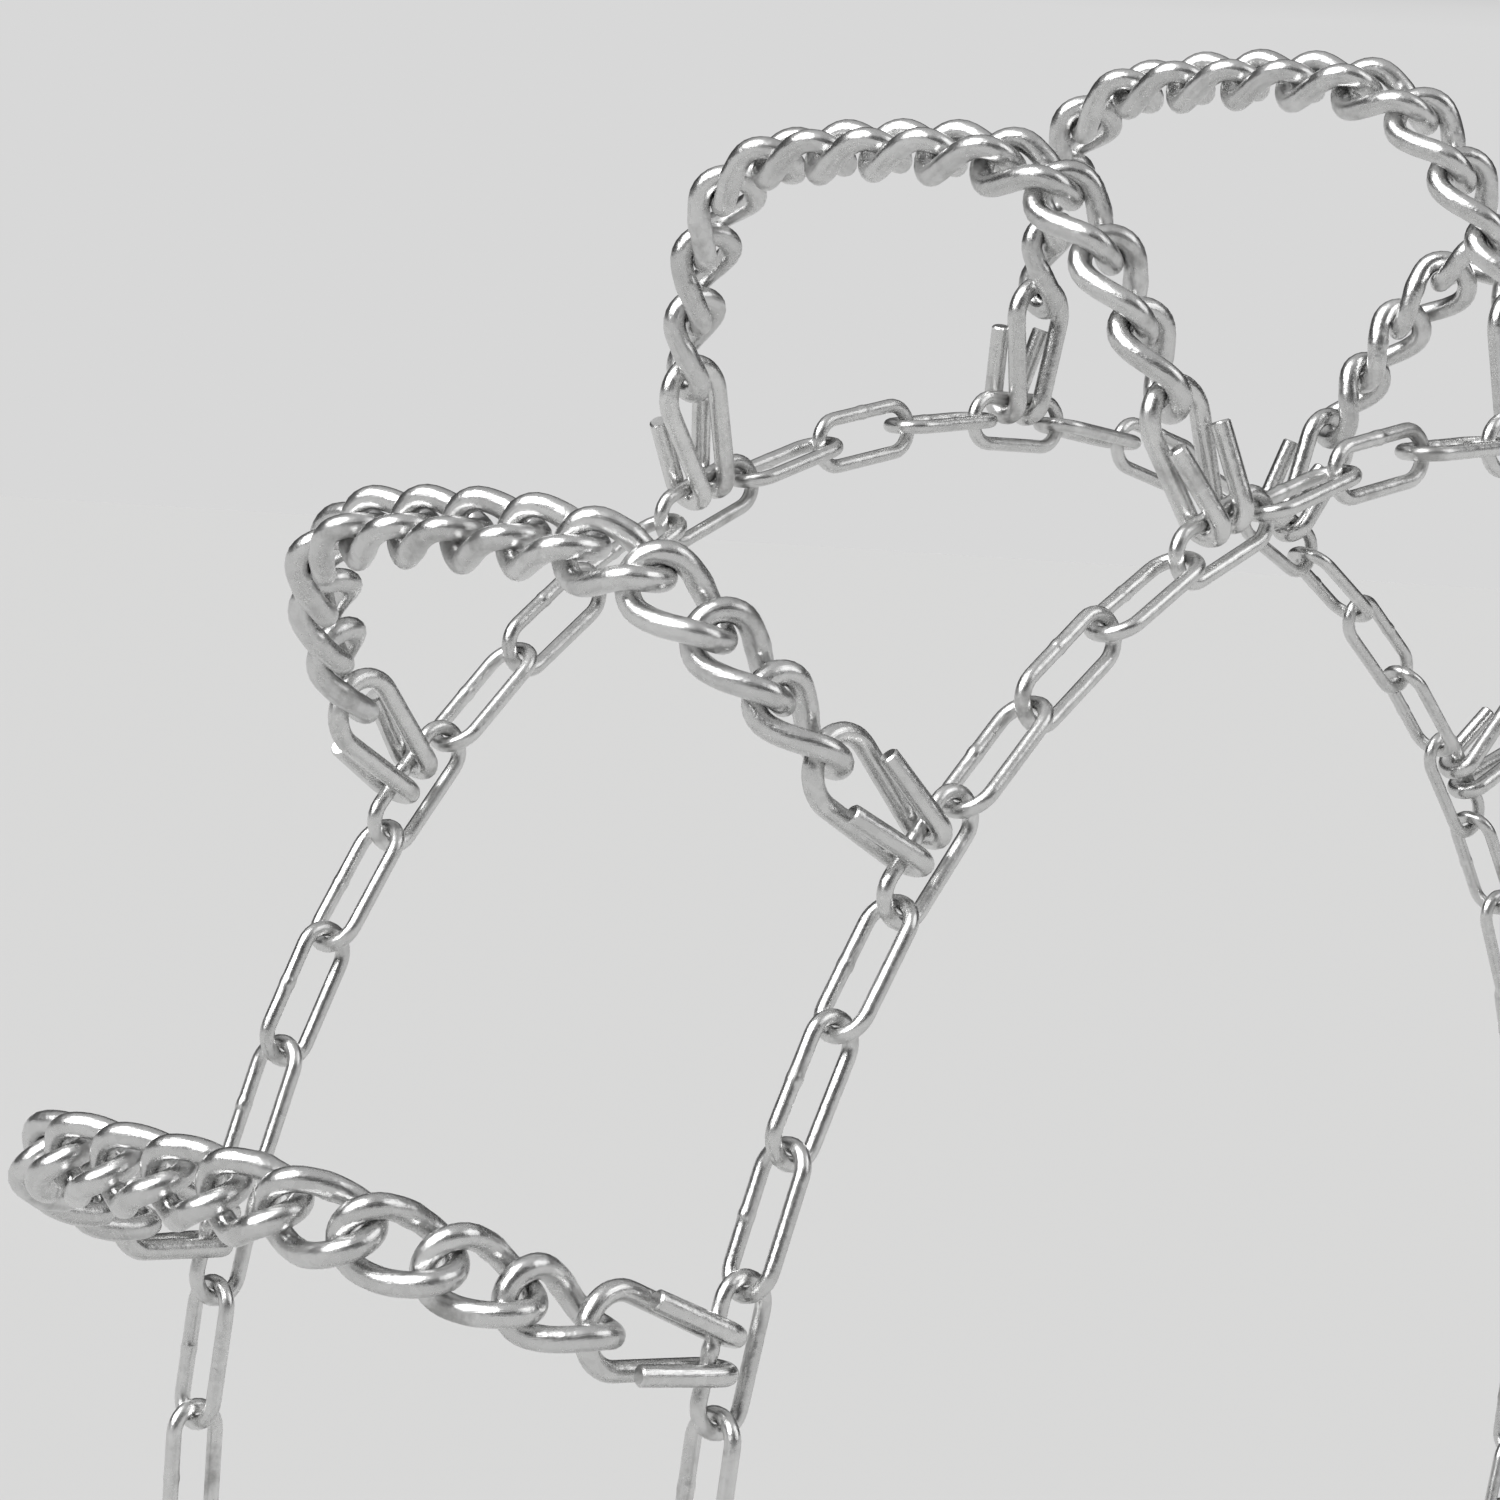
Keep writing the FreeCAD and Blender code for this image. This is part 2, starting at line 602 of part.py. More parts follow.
def closing_hook_place():
    """The open closing hook, swung away from the tyre about the wire in its eye."""
    joint = Placement(on_ring(joint_radius, -side_y, 2.5 * pitch_angle), Rotation(Y, 3 * pitch_angle))
    swing = Placement(Vector(), Rotation(Z, size("closing_swing")), X * wire_past_joint)
    return joint.multiply(swing)


half_gap = size("plate_gap") / 2
plates = [
    placed(plate, fastener_place(first_rivet_x, 0, plate_lift + half_gap)),
    placed(plate, fastener_place(first_rivet_x, 0, plate_lift - half_gap - size("plate_thickness"))),
]
rivets = [
    placed(pin, fastener_place(first_rivet_x, 0, plate_lift)),
    placed(pin, fastener_place(lever_rivet_x, 0, plate_lift)),
]
lever_at = placed(lever, fastener_place(lever_rivet_x, 0, plate_lift))
ring_at = placed(closing_ring, ring_place())
last_link = placed(side_link, side_link_place(-1, side_y))
closing_at = placed(inner_hook, closing_hook_place())

# ---------------------------------------------------------------------------------------------
# Nodes
# ---------------------------------------------------------------------------------------------

outer_links = [placed(side_link, side_link_place(number, side_y)) for number in range(pitches)]
inner_links = [placed(side_link, side_link_place(number, -side_y)) for number in range(pitches)]
cross_links = [placed(cross_link, place) for place in cross_link_places()]
hooks = [placed(hook, hook_place(side)) for side in (-1, 1)]

nodes = []
for section in range(sections):
    outer = outer_links
    inner = inner_links
    if section == fastener_section:
        outer = outer_links[:2]
        inner = inner_links[:3] + [closing_at]
    if section == fastener_section + 1:
        outer = outer_links + [last_link, ring_at]
    nodes.append(node(f"outer_side_links_{section:02d}", outer, section))
    nodes.append(node(f"inner_side_links_{section:02d}", inner, section))
    lean = size(f"lean_{section:02d}")
    nodes.append(node(f"cross_chain_{section:02d}", cross_links, section, lean))
    nodes.append(node(f"cross_hooks_{section:02d}", hooks, section))
nodes.append(node("fastener_plates", plates, fastener_section))
nodes.append(node("fastener_rivets", rivets, fastener_section))
nodes.append(node("fastener_lever", [lever_at], fastener_section))
doc.recompute()

for thing in doc.Objects:
    if "Invalid" in thing.State or "Error" in thing.State:
        raise RuntimeError(f"{thing.Name}: {thing.State}")
for piece in nodes:
    if piece.Shape.isNull() or not piece.Shape.isValid():
        raise RuntimeError(f"{piece.Label} has no valid shape")

os.makedirs("parts", exist_ok=True)
for piece in nodes:
    piece.Shape.exportStep(os.path.join("parts", piece.Label + ".step"))
print(f"side pitch {side_pitch:.3f}, joint radius {joint_radius:.3f}, side plane {side_y:.3f}")
print(f"{len(nodes)} nodes, {sum(len(piece.Shape.Solids) for piece in nodes)} solids")
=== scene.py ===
"""Tire snow chain: a round-laid ladder chain of galvanised steel on a pale studio floor.

The origin is the middle of the wheel. Y runs along the axle with the outer side at -Y, and the
first section's cross chain is at the top (+Z). Shapes are worked out in millimetres and stored in
metres. Each CAD node gets one piece, which stands for it and rides on its body.
"""
import math
import random

import bpy
import numpy as np
from mathutils import Matrix, Vector


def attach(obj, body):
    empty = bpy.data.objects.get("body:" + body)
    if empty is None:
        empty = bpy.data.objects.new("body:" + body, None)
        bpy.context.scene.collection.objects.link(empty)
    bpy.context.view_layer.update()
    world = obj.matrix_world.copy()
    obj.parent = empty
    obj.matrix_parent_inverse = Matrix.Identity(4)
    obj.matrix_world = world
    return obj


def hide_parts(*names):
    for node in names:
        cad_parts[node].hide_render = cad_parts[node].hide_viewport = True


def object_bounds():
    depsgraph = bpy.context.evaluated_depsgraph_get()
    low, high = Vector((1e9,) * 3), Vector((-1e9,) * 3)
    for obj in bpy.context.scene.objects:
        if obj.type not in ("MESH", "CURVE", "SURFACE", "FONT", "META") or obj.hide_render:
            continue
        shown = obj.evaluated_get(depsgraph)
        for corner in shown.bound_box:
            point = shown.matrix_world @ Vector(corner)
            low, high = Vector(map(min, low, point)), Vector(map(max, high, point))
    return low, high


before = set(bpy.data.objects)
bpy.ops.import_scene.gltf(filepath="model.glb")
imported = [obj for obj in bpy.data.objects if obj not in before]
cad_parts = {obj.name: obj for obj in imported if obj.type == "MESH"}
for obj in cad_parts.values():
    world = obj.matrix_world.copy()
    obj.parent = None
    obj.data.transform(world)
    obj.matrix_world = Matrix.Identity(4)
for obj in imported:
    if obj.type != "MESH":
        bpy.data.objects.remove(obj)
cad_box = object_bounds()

MM = 0.001
SECTIONS = 14
PITCHES = 4
SECTION_ANGLE = 2 * math.pi / SECTIONS
PITCH_ANGLE = SECTION_ANGLE / PITCHES

TREAD_RADIUS = 537
SLOPES = [math.radians(slope) for slope in (1.5, 5, 22, 52, 64, 70)]
ROLLS = [math.radians(roll) for roll in (0, 0, 0, -3, -17, -34)]
HOOK_SLOPE = math.radians(87)

SIDE_WIRE = 5.6
SIDE_WIDTH = 13.2
SIDE_PLAY = 0.4
CROSS_WIRE = 8.6
CROSS_WIDTH = 14
CROSS_PITCH = 28
CROSS_PLAY = 1.4
CROSS_TWIST = math.radians(-42)

HOOK_WIRE = 7.5
HOOK_LOOP = 13
HOOK_SPREAD = math.radians(10.2)
HOOK_LENGTH = 47.5
HOOK_RETURN = 29
HOOK_CLOSING = math.radians(10)
HOOK_WRAP = (HOOK_WIRE + SIDE_WIRE) / 2 + 0.4
HOOK_BEVEL = 0.7

PLATE_GAP = 8.6
PLATE_THICKNESS = 3
PLATE_RADIUS = 6.5
PLATE_EDGE = 0.45
RIVET_DIAMETER = 6
RIVET_HEAD = 10
RIVET_HEAD_HEIGHT = 1.8
RIVET_SPAN = 21.2
WIRE_PAST_JOINT = (SIDE_PLAY + SIDE_WIRE) / 2
FIRST_RIVET_X = WIRE_PAST_JOINT - SIDE_PLAY - (SIDE_WIRE + RIVET_DIAMETER) / 2
PLATE_LIFT = -0.5
LEVER_THICKNESS = 7.8
LEVER_HUB = 7
LEVER_REACH = 60
LEVER_RISE = 14.4
LEVER_ARM = 6
LEVER_NECK = 5.5
LEVER_TIP = 4
LEVER_LIP = 7
LEVER_BORE = 6.16
LEVER_CHAMFER = 1.2
LEVER_EDGE = 1.1
RING_WIRE = 6
RING_WIDTH = 22
RING_LENGTH = 35.9
RING_DROOP = math.radians(55)
RING_INSET = 3
CLOSING_WIRE = 6.5
CLOSING_EYE = 8
CLOSING_BEND = 7.5
CLOSING_GAP = math.radians(5)
CLOSING_TIP = 9
CLOSING_BEVEL = 0.9
CLOSING_SWING = math.radians(40)
FASTENER_SECTION = 7
LEANS = [math.radians(lean) for lean in (-16.2, -6, 5, -4, 7, -3, 4, 0, -5, 6, 3, 9.8, 10, 9)]

luck = random.Random(488)


# ---------------------------------------------------------------------------------------------
# Where everything sits in one section, in millimetres
# ---------------------------------------------------------------------------------------------

def slope_way(slope):
    """The direction down the outer side at a slope from the axle's direction."""
    return Vector((0, -math.cos(slope), -math.sin(slope)))


cross_joints = [Vector((0, 0, TREAD_RADIUS))]
for slope in SLOPES:
    cross_joints.append(cross_joints[-1] + slope_way(slope) * CROSS_PITCH)
hook_way = slope_way(HOOK_SLOPE)
hook_outward = Vector((0, hook_way.z, -hook_way.y))
loop_seat = (HOOK_WIRE + CROSS_PLAY) / 2
wrap_centre = cross_joints[-1] + hook_way * (HOOK_LENGTH - loop_seat) + hook_outward * HOOK_WRAP
SIDE_Y = wrap_centre.y
LINK_RADIUS = wrap_centre.z - (SIDE_WIDTH + SIDE_WIRE) / 2
JOINT_RADIUS = LINK_RADIUS / math.cos(PITCH_ANGLE / 2)
SIDE_PITCH = 2 * JOINT_RADIUS * math.sin(PITCH_ANGLE / 2)


def turned(angle, axis):
    """A turn about one of the three axes, named by its letter."""
    return Matrix.Rotation(angle, 4, axis)


def framed(centre, x_way, y_way, z_way):
    """The place of a part whose own X, Y and Z lie along three directions."""
    place = Matrix((x_way, y_way, z_way)).transposed().to_4x4()
    place.translation = centre
    return place


def on_ring(radius, y, angle):
    """A point on the side chain's ring, at an angle from the top towards +X."""
    return Vector((radius * math.sin(angle), y, radius * math.cos(angle)))


def side_link_place(number, y):
    """Even links lie flat on the sidewall and the others stand up."""
    angle = number * PITCH_ANGLE
    place = Matrix.Translation(on_ring(LINK_RADIUS, y, angle)) @ turned(angle, "Y")
    if number % 2 == 0:
        place = place @ turned(math.pi / 2, "X")
    return place


def cross_link_places():
    """Six links down to each side from the middle of the tread."""
    places = []
    for side in (1, -1):
        for number, slope in enumerate(SLOPES):
            middle = (cross_joints[number] + cross_joints[number + 1]) * 0.5
            way = slope_way(slope)
            centre = Vector((0, middle.y * side, middle.z))
            along = Vector((0, way.y * side, way.z))
            outward = Vector((0, way.z * side, -way.y))
            place = framed(centre, along, outward.cross(along), outward)
            places.append(place @ turned(ROLLS[number], "X"))
    return places


def hook_place(side):
    """The hook on the outer side (1) or the inner side (-1)."""
    back = Vector((0, -hook_way.y * side, -hook_way.z))
    outward = Vector((0, hook_outward.y * side, hook_outward.z))
    centre = Vector((0, wrap_centre.y * side, wrap_centre.z))
    return framed(centre, back.cross(outward), back, outward)


def cross_chain_place(section):
    """A cross chain leans about the line through its two hooks' loops, then takes its section."""
    loops = Matrix.Translation((0, 0, cross_joints[-1].z))
    lean = loops @ turned(LEANS[section], "Y") @ loops.inverted()
    return turned(section * SECTION_ANGLE, "Y") @ lean


def fastener_place(x, y, z):
    """x along the chain from the last link before the fastener, -y outward, z off the axle."""
    origin = Matrix.Translation(on_ring(JOINT_RADIUS, SIDE_Y, 1.5 * PITCH_ANGLE))
    return origin @ turned(2.5 * PITCH_ANGLE, "Y") @ Matrix.Translation((x, y, z))


def ring_place():
    """The open closing ring, hanging off the outer leg of the link before the section's first."""
    half_straight = (SIDE_PITCH + SIDE_PLAY - SIDE_WIDTH) / 2
    seat = Vector((RING_INSET - half_straight, -(SIDE_WIDTH + SIDE_WIRE) / 2, 0))
    hanging = Vector((0, -math.cos(RING_DROOP), math.sin(RING_DROOP)))
    across = Vector((0, math.sin(RING_DROOP), math.cos(RING_DROOP)))
    reach = (RING_LENGTH - SIDE_WIRE) / 2 - SIDE_PLAY
    local = framed(seat + hanging * reach, hanging, across, hanging.cross(across))
    return side_link_place(-1, SIDE_Y) @ local


def closing_hook_place():
    """The open closing hook, swung away from the tyre about the wire in its eye."""
    joint = Matrix.Translation(on_ring(JOINT_RADIUS, -SIDE_Y, 2.5 * PITCH_ANGLE))
    pivot = Matrix.Translation((WIRE_PAST_JOINT, 0, 0))
    swing = pivot @ turned(CLOSING_SWING, "Z") @ pivot.inverted()
    return joint @ turned(3 * PITCH_ANGLE, "Y") @ swing


# ---------------------------------------------------------------------------------------------
# Bent wire. A form is its vertices, faces, corner UVs and how rubbed each vertex is.
# ---------------------------------------------------------------------------------------------

# Distances from a weld's middle are in wire diameters. The notch is a share of the weld's swell,
# and marks are a share of the wire's radius.
WELD_STATIONS = np.array((0, 0.1, 0.22, 0.36, 0.52))
WELD_REACH = 0.26
WELD_NOTCH_REACH = 0.3 * WELD_REACH
WELD_NOTCH_DEPTH = 0.35
SIDE_MARKS = 0.007
CROSS_MARKS = 0.010
BENT_MARKS = 0.012


def unit(rows):
    """Each row made one long."""
    return rows / np.linalg.norm(rows, axis=1, keepdims=True)


def wire_form(points, ways, references, radii, closed, rubbed):
    """Wire round a line. Each ring of vertices starts on the side that its reference points to."""
    rings, sides = radii.shape
    ways = unit(ways)
    across = unit(references - ways * np.sum(references * ways, axis=1, keepdims=True))
    up = np.cross(ways, across)
    angles = np.arange(sides) * 2 * math.pi / sides
    spokes = across[:, None, :] * np.cos(angles)[None, :, None]
    spokes = spokes + up[:, None, :] * np.sin(angles)[None, :, None]
    vertices = (points[:, None, :] + spokes * radii[:, :, None]).reshape(-1, 3)
    steps = np.linalg.norm(np.roll(points, -1, axis=0) - points, axis=1)
    travel = np.concatenate(([0], np.cumsum(steps)))
    faces = []
    corners = []
    for ring in range(rings if closed else rings - 1):
        here = ring * sides
        after = (ring + 1) % rings * sides
        for side in range(sides):
            beside = (side + 1) % sides
            faces.append((here + side, here + beside, after + beside, after + side))
            low = side / sides
            high = (side + 1) / sides
            near = travel[ring]
            far = travel[ring + 1]
            corners += [(near, low), (near, high), (far, high), (far, low)]
    if not closed:
        first = tuple(range(sides))
        last = tuple(range((rings - 1) * sides, rings * sides))
        for cap in (first[::-1], last):
            faces.append(cap)
            corners += [(points[cap[0] // sides][0], 0.5)] * sides
    return vertices, faces, corners, rubbed.reshape(-1)


def weld_swell(distance, sides, wire, strength):
    """How much thicker the wire is near its closed weld, uneven round the wire."""
    angles = np.arange(sides) * 2 * math.pi / sides
    lean = luck.uniform(0, 2 * math.pi)
    uneven = 1 + 0.5 * np.cos(angles - lean) + 0.25 * np.cos(3 * angles + lean)
    hump = np.exp(-(distance / (wire * WELD_REACH)) ** 2)
    notch = WELD_NOTCH_DEPTH * np.exp(-(distance / (wire * WELD_NOTCH_REACH)) ** 2)
    return strength * (hump - notch)[:, None] * uneven[None, :]


def handling_marks(rings, sides, depth):
    """A slow unevenness of the wire, as a fraction of its radius."""
    along = np.linspace(0, 2 * math.pi, rings, endpoint=False)
    round_it = np.arange(sides) * 2 * math.pi / sides
    marks = np.zeros((rings, sides))
    for wave in (1, 2, 3, 5, 8):
        phase = luck.uniform(0, 2 * math.pi)
        turns = luck.choice((0, 1, 2))
        marks += np.sin(wave * along + phase)[:, None] * np.cos(turns * round_it + phase)[None, :]
    return marks * depth / 5


def link_stations(wire, bow, half_straight, bow_steps, leg_steps):
    """Distances round a link from the middle of its welded leg, closer together at the weld."""
    near_weld = wire * WELD_STATIONS
    leg = np.linspace(near_weld[-1], half_straight, leg_steps)[1:]
    arc = math.pi * bow
    first_half = np.concatenate((
        near_weld,
        leg,
        half_straight + arc * np.arange(1, bow_steps) / bow_steps,
        np.linspace(half_straight + arc, 2 * half_straight + arc, leg_steps + 2),
    ))
    total = 2 * arc + 4 * half_straight
    second_half = total - first_half[-2:0:-1]
    return np.concatenate((first_half, second_half)), total


def oval_line(bow, half_straight, distance):
    """Points and directions of a flat oval in XY, from (0, bow) towards +X and round."""
    arc = math.pi * bow
    half = 2 * half_straight + arc
    lap = distance % (2 * half)
    back = lap >= half
    lap = np.where(back, lap - half, lap)
    angle = np.clip((lap - half_straight) / bow, 0, math.pi)
    before = np.minimum(lap, half_straight)
    after = np.maximum(lap - half_straight - arc, 0)
    x = before - after + bow * np.sin(angle)
    y = bow * np.cos(angle)
    x_way = np.cos(angle)
    y_way = -np.sin(angle)
    turn = np.where(back, -1, 1)
    return x * turn, y * turn, x_way * turn, y_way * turn, np.sin(angle)


def oval_form(wire, width, length, sides, bow_steps, leg_steps, weld):
    """A flat oval link in XY, long axis along X, closed by a weld in the middle of one leg."""
    bow = (width + wire) / 2
    half_straight = (length - width) / 2
    distance, total = link_stations(wire, bow, half_straight, bow_steps, leg_steps)
    x, y, x_way, y_way, bend = oval_line(bow, half_straight, distance)
    flat = np.zeros_like(x)
    points = np.column_stack((x, y, flat))
    ways = np.column_stack((x_way, y_way, flat))
    references = np.column_stack((y_way, -x_way, flat))
    from_weld = np.minimum(distance, total - distance)
    swell = weld_swell(from_weld, sides, wire, weld)
    radii = wire / 2 * (1 + swell + handling_marks(len(x), sides, SIDE_MARKS))
    return wire_form(points, ways, references, radii, True, rub_marks(bend, sides))


def rub_marks(bend, sides):
    """1 where the next link rubs: inside each bow, on the side that faces the link's middle."""
    facing = np.clip(np.cos(np.arange(sides) * 2 * math.pi / sides), 0, 1)
    return np.clip(bend, 0, 1)[:, None] ** 6 * facing[None, :] ** 2


def twisted_form(sides, bow_steps, leg_steps, weld):
    """A cross chain link, long axis along X, its two bows turned opposite ways out of XY."""
    bow = (CROSS_WIDTH + CROSS_WIRE) / 2
    half_length = (CROSS_PITCH + CROSS_PLAY + CROSS_WIRE) / 2
    half_straight = half_length - bow
    distance, total = link_stations(CROSS_WIRE, bow, half_straight, bow_steps, leg_steps)
    x, y, x_way, y_way, bend = oval_line(bow, half_straight, distance)
    phase = math.pi / 2 * x / half_length
    turn = CROSS_TWIST * np.sin(phase)
    turn_way = CROSS_TWIST * np.cos(phase) * math.pi / 2 / half_length * x_way
    cosine = np.cos(turn)
    sine = np.sin(turn)
    points = np.column_stack((x, y * cosine, y * sine))
    ways = np.column_stack((
        x_way,
        y_way * cosine - points[:, 2] * turn_way,
        y_way * sine + points[:, 1] * turn_way))
    references = np.column_stack((y_way, -x_way * cosine, -x_way * sine))
    from_weld = np.minimum(distance, total - distance)
    swell = weld_swell(from_weld, sides, CROSS_WIRE, weld)
    radii = CROSS_WIRE / 2 * (1 + swell + handling_marks(len(x), sides, CROSS_MARKS))
    return wire_form(points, ways, references, radii, True, rub_marks(bend, sides))


def arc_run(centre, first, second, radius, angle, steps):
    """Points and ways along an arc from centre + first, turning towards second."""
    angles = np.arange(1, steps + 1)[:, None] * angle / steps
    points = centre + (first * np.cos(angles) + second * np.sin(angles)) * radius
    ways = second * np.cos(angles) - first * np.sin(angles)
    return points, ways


def straight_run(start, end, steps):
    """Points and ways along a straight stretch, without its start."""
    shares = np.arange(1, steps + 1)[:, None] / steps
    points = start + (end - start) * shares
    return points, np.repeat((end - start)[None, :], steps, axis=0)


def open_wire_radii(rings, sides, wire):
    """The radii of a bent wire, with the bevel that the shears leave on its two ends."""
    radii = np.full((rings, sides), wire / 2)
    for end, inside in ((0, 1), (-1, -2)):
        radii[end] *= 0.8
        radii[inside] *= 0.985
    return radii * (1 + handling_marks(rings, sides, BENT_MARKS))


def hook_form(sides):
    """The hook's wire, from one cut end over the U to the other. Y runs back up the cross chain."""
    return_steps, bend_steps, leg_steps, loop_steps = 8, 20, 11, 11
    x = np.array([1.0, 0, 0])
    y = np.array([0, 1.0, 0])
    z = np.array([0, 0, 1.0])
    spread_sine = math.sin(HOOK_SPREAD)
    spread_cosine = math.cos(HOOK_SPREAD)
    loop_centre = y * (HOOK_LENGTH - HOOK_LOOP) - z * HOOK_WRAP
    leg_way = x * spread_sine + y * spread_cosine
    leg_side = x * spread_cosine - y * spread_sine
    foot = x * (HOOK_LOOP - loop_centre[1] * spread_sine) / spread_cosine
    bend_angle = math.pi + HOOK_CLOSING
    bend_first = leg_way * math.sin(HOOK_CLOSING) + z * math.cos(HOOK_CLOSING)
    bend_second = z * math.sin(HOOK_CLOSING) - leg_way * math.cos(HOOK_CLOSING)
    bend_end = foot + bend_first * HOOK_WRAP
    cut_end = bend_end - bend_second * HOOK_RETURN
    bevel = (bend_end - cut_end) / HOOK_RETURN * HOOK_BEVEL
    leg_top = loop_centre + leg_side * HOOK_LOOP
    runs = [
        (cut_end[None, :], (bend_end - cut_end)[None, :]),
        straight_run(cut_end, cut_end + bevel, 1),
        straight_run(cut_end + bevel, bend_end, return_steps),
        arc_run(foot, bend_first, bend_second, HOOK_WRAP, bend_angle, bend_steps),
        straight_run(foot - z * HOOK_WRAP, leg_top, leg_steps),
        arc_run(loop_centre, leg_side, leg_way, HOOK_LOOP, math.pi / 2 + HOOK_SPREAD, loop_steps),
    ]
    points = np.concatenate([run[0] for run in runs])
    ways = np.concatenate([run[1] for run in runs])
    references = np.repeat(-leg_side[None, :], len(points), axis=0)
    references[-loop_steps:] = loop_centre - points[-loop_steps:]
    mirror = np.array([-1.0, 1, 1])
    left = slice(-2, None, -1)
    points = np.concatenate((points, points[left] * mirror))
    ways = np.concatenate((ways, ways[left] * -mirror))
    references = np.concatenate((references, references[left] * mirror))
    radii = open_wire_radii(len(points), sides, HOOK_WIRE)
    bend = np.zeros(len(points))
    bend_start = return_steps + 2
    bend_stop = bend_start + bend_steps
    bend[bend_start:bend_stop] = 0.9
    bend[-bend_stop:-bend_start] = 0.9
    loop_top = len(points) // 2
    bend[loop_top - 7:loop_top + 8] = 1
    return wire_form(points, ways, references, radii, False, rub_marks(bend, sides))


def closing_hook_form(sides):
    """The inner side's closing hook in XY: an eye at X = 0 and a hook one pitch further."""
    x = np.array([1.0, 0, 0])
    y = np.array([0, 1.0, 0])
    seat = (CLOSING_WIRE + SIDE_PLAY) / 2
    eye_centre = x * (CLOSING_EYE - seat)
    bend_centre = x * (SIDE_PITCH + seat - CLOSING_BEND) + y * (CLOSING_EYE - CLOSING_BEND)
    first = x * math.cos(CLOSING_GAP) + y * math.sin(CLOSING_GAP)
    second = x * math.sin(CLOSING_GAP) - y * math.cos(CLOSING_GAP)
    start = eye_centre + first * CLOSING_EYE
    bend_end = bend_centre - y * CLOSING_BEND
    tip = bend_end - x * CLOSING_TIP
    bevel = x * CLOSING_BEVEL
    runs = [
        (start[None, :], second[None, :]),
        arc_run(eye_centre, first, second, CLOSING_EYE, math.radians(4), 1),
        arc_run(eye_centre, first, second, CLOSING_EYE, 1.5 * math.pi + CLOSING_GAP, 28),
        straight_run(eye_centre + y * CLOSING_EYE, bend_centre + y * CLOSING_BEND, 8),
        arc_run(bend_centre, y, x, CLOSING_BEND, math.pi, 16),
        straight_run(bend_end, tip + bevel, 3),
        straight_run(tip + bevel, tip, 1),
    ]
    points = np.concatenate([run[0] for run in runs])
    ways = np.concatenate([run[1] for run in runs])
    references = np.repeat(np.array([[0, 0, 1.0]]), len(points), axis=0)
    radii = open_wire_radii(len(points), sides, CLOSING_WIRE)
    return wire_form(points, ways, references, radii, False, np.zeros(radii.shape))


# ---------------------------------------------------------------------------------------------
# Flat bar and rivets
# ---------------------------------------------------------------------------------------------

def arc_points(centre, radius, start, end, steps):
    """Points of an arc in a flat outline, between two angles in degrees."""
    angles = [math.radians(start + (end - start) * step / steps) for step in range(steps + 1)]
    return [(centre[0] + radius * math.cos(a), centre[1] + radius * math.sin(a)) for a in angles]


def hole_points(centre, radius):
    """A round hole of 24 points, 15 degrees apart."""
    return arc_points(centre, radius, 0, 345, 23)


def bar_form(outlines, thickness, edge):
    """Flat bar cut to its outlines, half its thickness each side of XY, with rounded edges."""
    curve = bpy.data.curves.new("outline", "CURVE")
    curve.dimensions = "2D"
    curve.fill_mode = "BOTH"
    curve.extrude = thickness / 2 - edge
    curve.bevel_depth = edge
    curve.bevel_resolution = 2
    curve.offset = -edge
    for outline in outlines:
        spline = curve.splines.new("POLY")
        spline.points.add(len(outline) - 1)
        for point, (x, y) in zip(spline.points, outline):
            point.co = (x, y, 0, 1)
        spline.use_cyclic_u = True
    holder = bpy.data.objects.new("outline", curve)
    cut = bpy.data.meshes.new_from_object(holder)
    loose = np.array([vertex.co for vertex in cut.vertices])
    welded, places = np.unique(np.round(loose, 3), axis=0, return_inverse=True)
    faces = []
    corners = []
    for polygon in cut.polygons:
        face = tuple(int(places.reshape(-1)[corner]) for corner in polygon.vertices)
        if len(set(face)) == len(face):
            faces.append(face)
            corners += [(welded[corner][0], welded[corner][1] / 10) for corner in face]
    bpy.data.objects.remove(holder)
    bpy.data.curves.remove(curve)
    bpy.data.meshes.remove(cut)
    return welded, faces, corners, np.zeros(len(welded))


def plate_form():
    """A plate with round ends, its first rivet hole at the origin."""
    outside = arc_points((RIVET_SPAN, 0), PLATE_RADIUS, -90, 90, 20)
    outside += arc_points((0, 0), PLATE_RADIUS, 90, 270, 20)
    holes = [hole_points((x, 0), RIVET_DIAMETER / 2) for x in (0, RIVET_SPAN)]
    return bar_form([outside] + holes, PLATE_THICKNESS, PLATE_EDGE)


def lever_form():
    """The lever: hub round its rivet at the origin, neck, and arm folded back over the plates."""
    top = LEVER_RISE + LEVER_ARM
    hub_drop = math.sqrt(LEVER_HUB ** 2 - LEVER_NECK ** 2)
    neck_angle = math.degrees(math.atan2(-hub_drop, -LEVER_NECK)) + 360
    outside = [
        (-LEVER_NECK, -LEVER_RISE + LEVER_CHAMFER),
        (-LEVER_NECK - LEVER_CHAMFER, -LEVER_RISE),
        (-LEVER_REACH + LEVER_LIP, -LEVER_RISE),
        (-LEVER_REACH, -LEVER_RISE - LEVER_TIP),
        (-LEVER_REACH + LEVER_ARM / 3, -LEVER_RISE - LEVER_TIP - LEVER_ARM / 2),
        (-LEVER_REACH + LEVER_LIP + LEVER_ARM / 2, -top),
    ]
    outside += arc_points((0, LEVER_HUB - top), LEVER_HUB, -90, 0, 12)
    outside += arc_points((0, 0), LEVER_HUB, 0, neck_angle, 30)
    return bar_form([outside, hole_points((0, 0), LEVER_BORE / 2)], LEVER_THICKNESS, LEVER_EDGE)


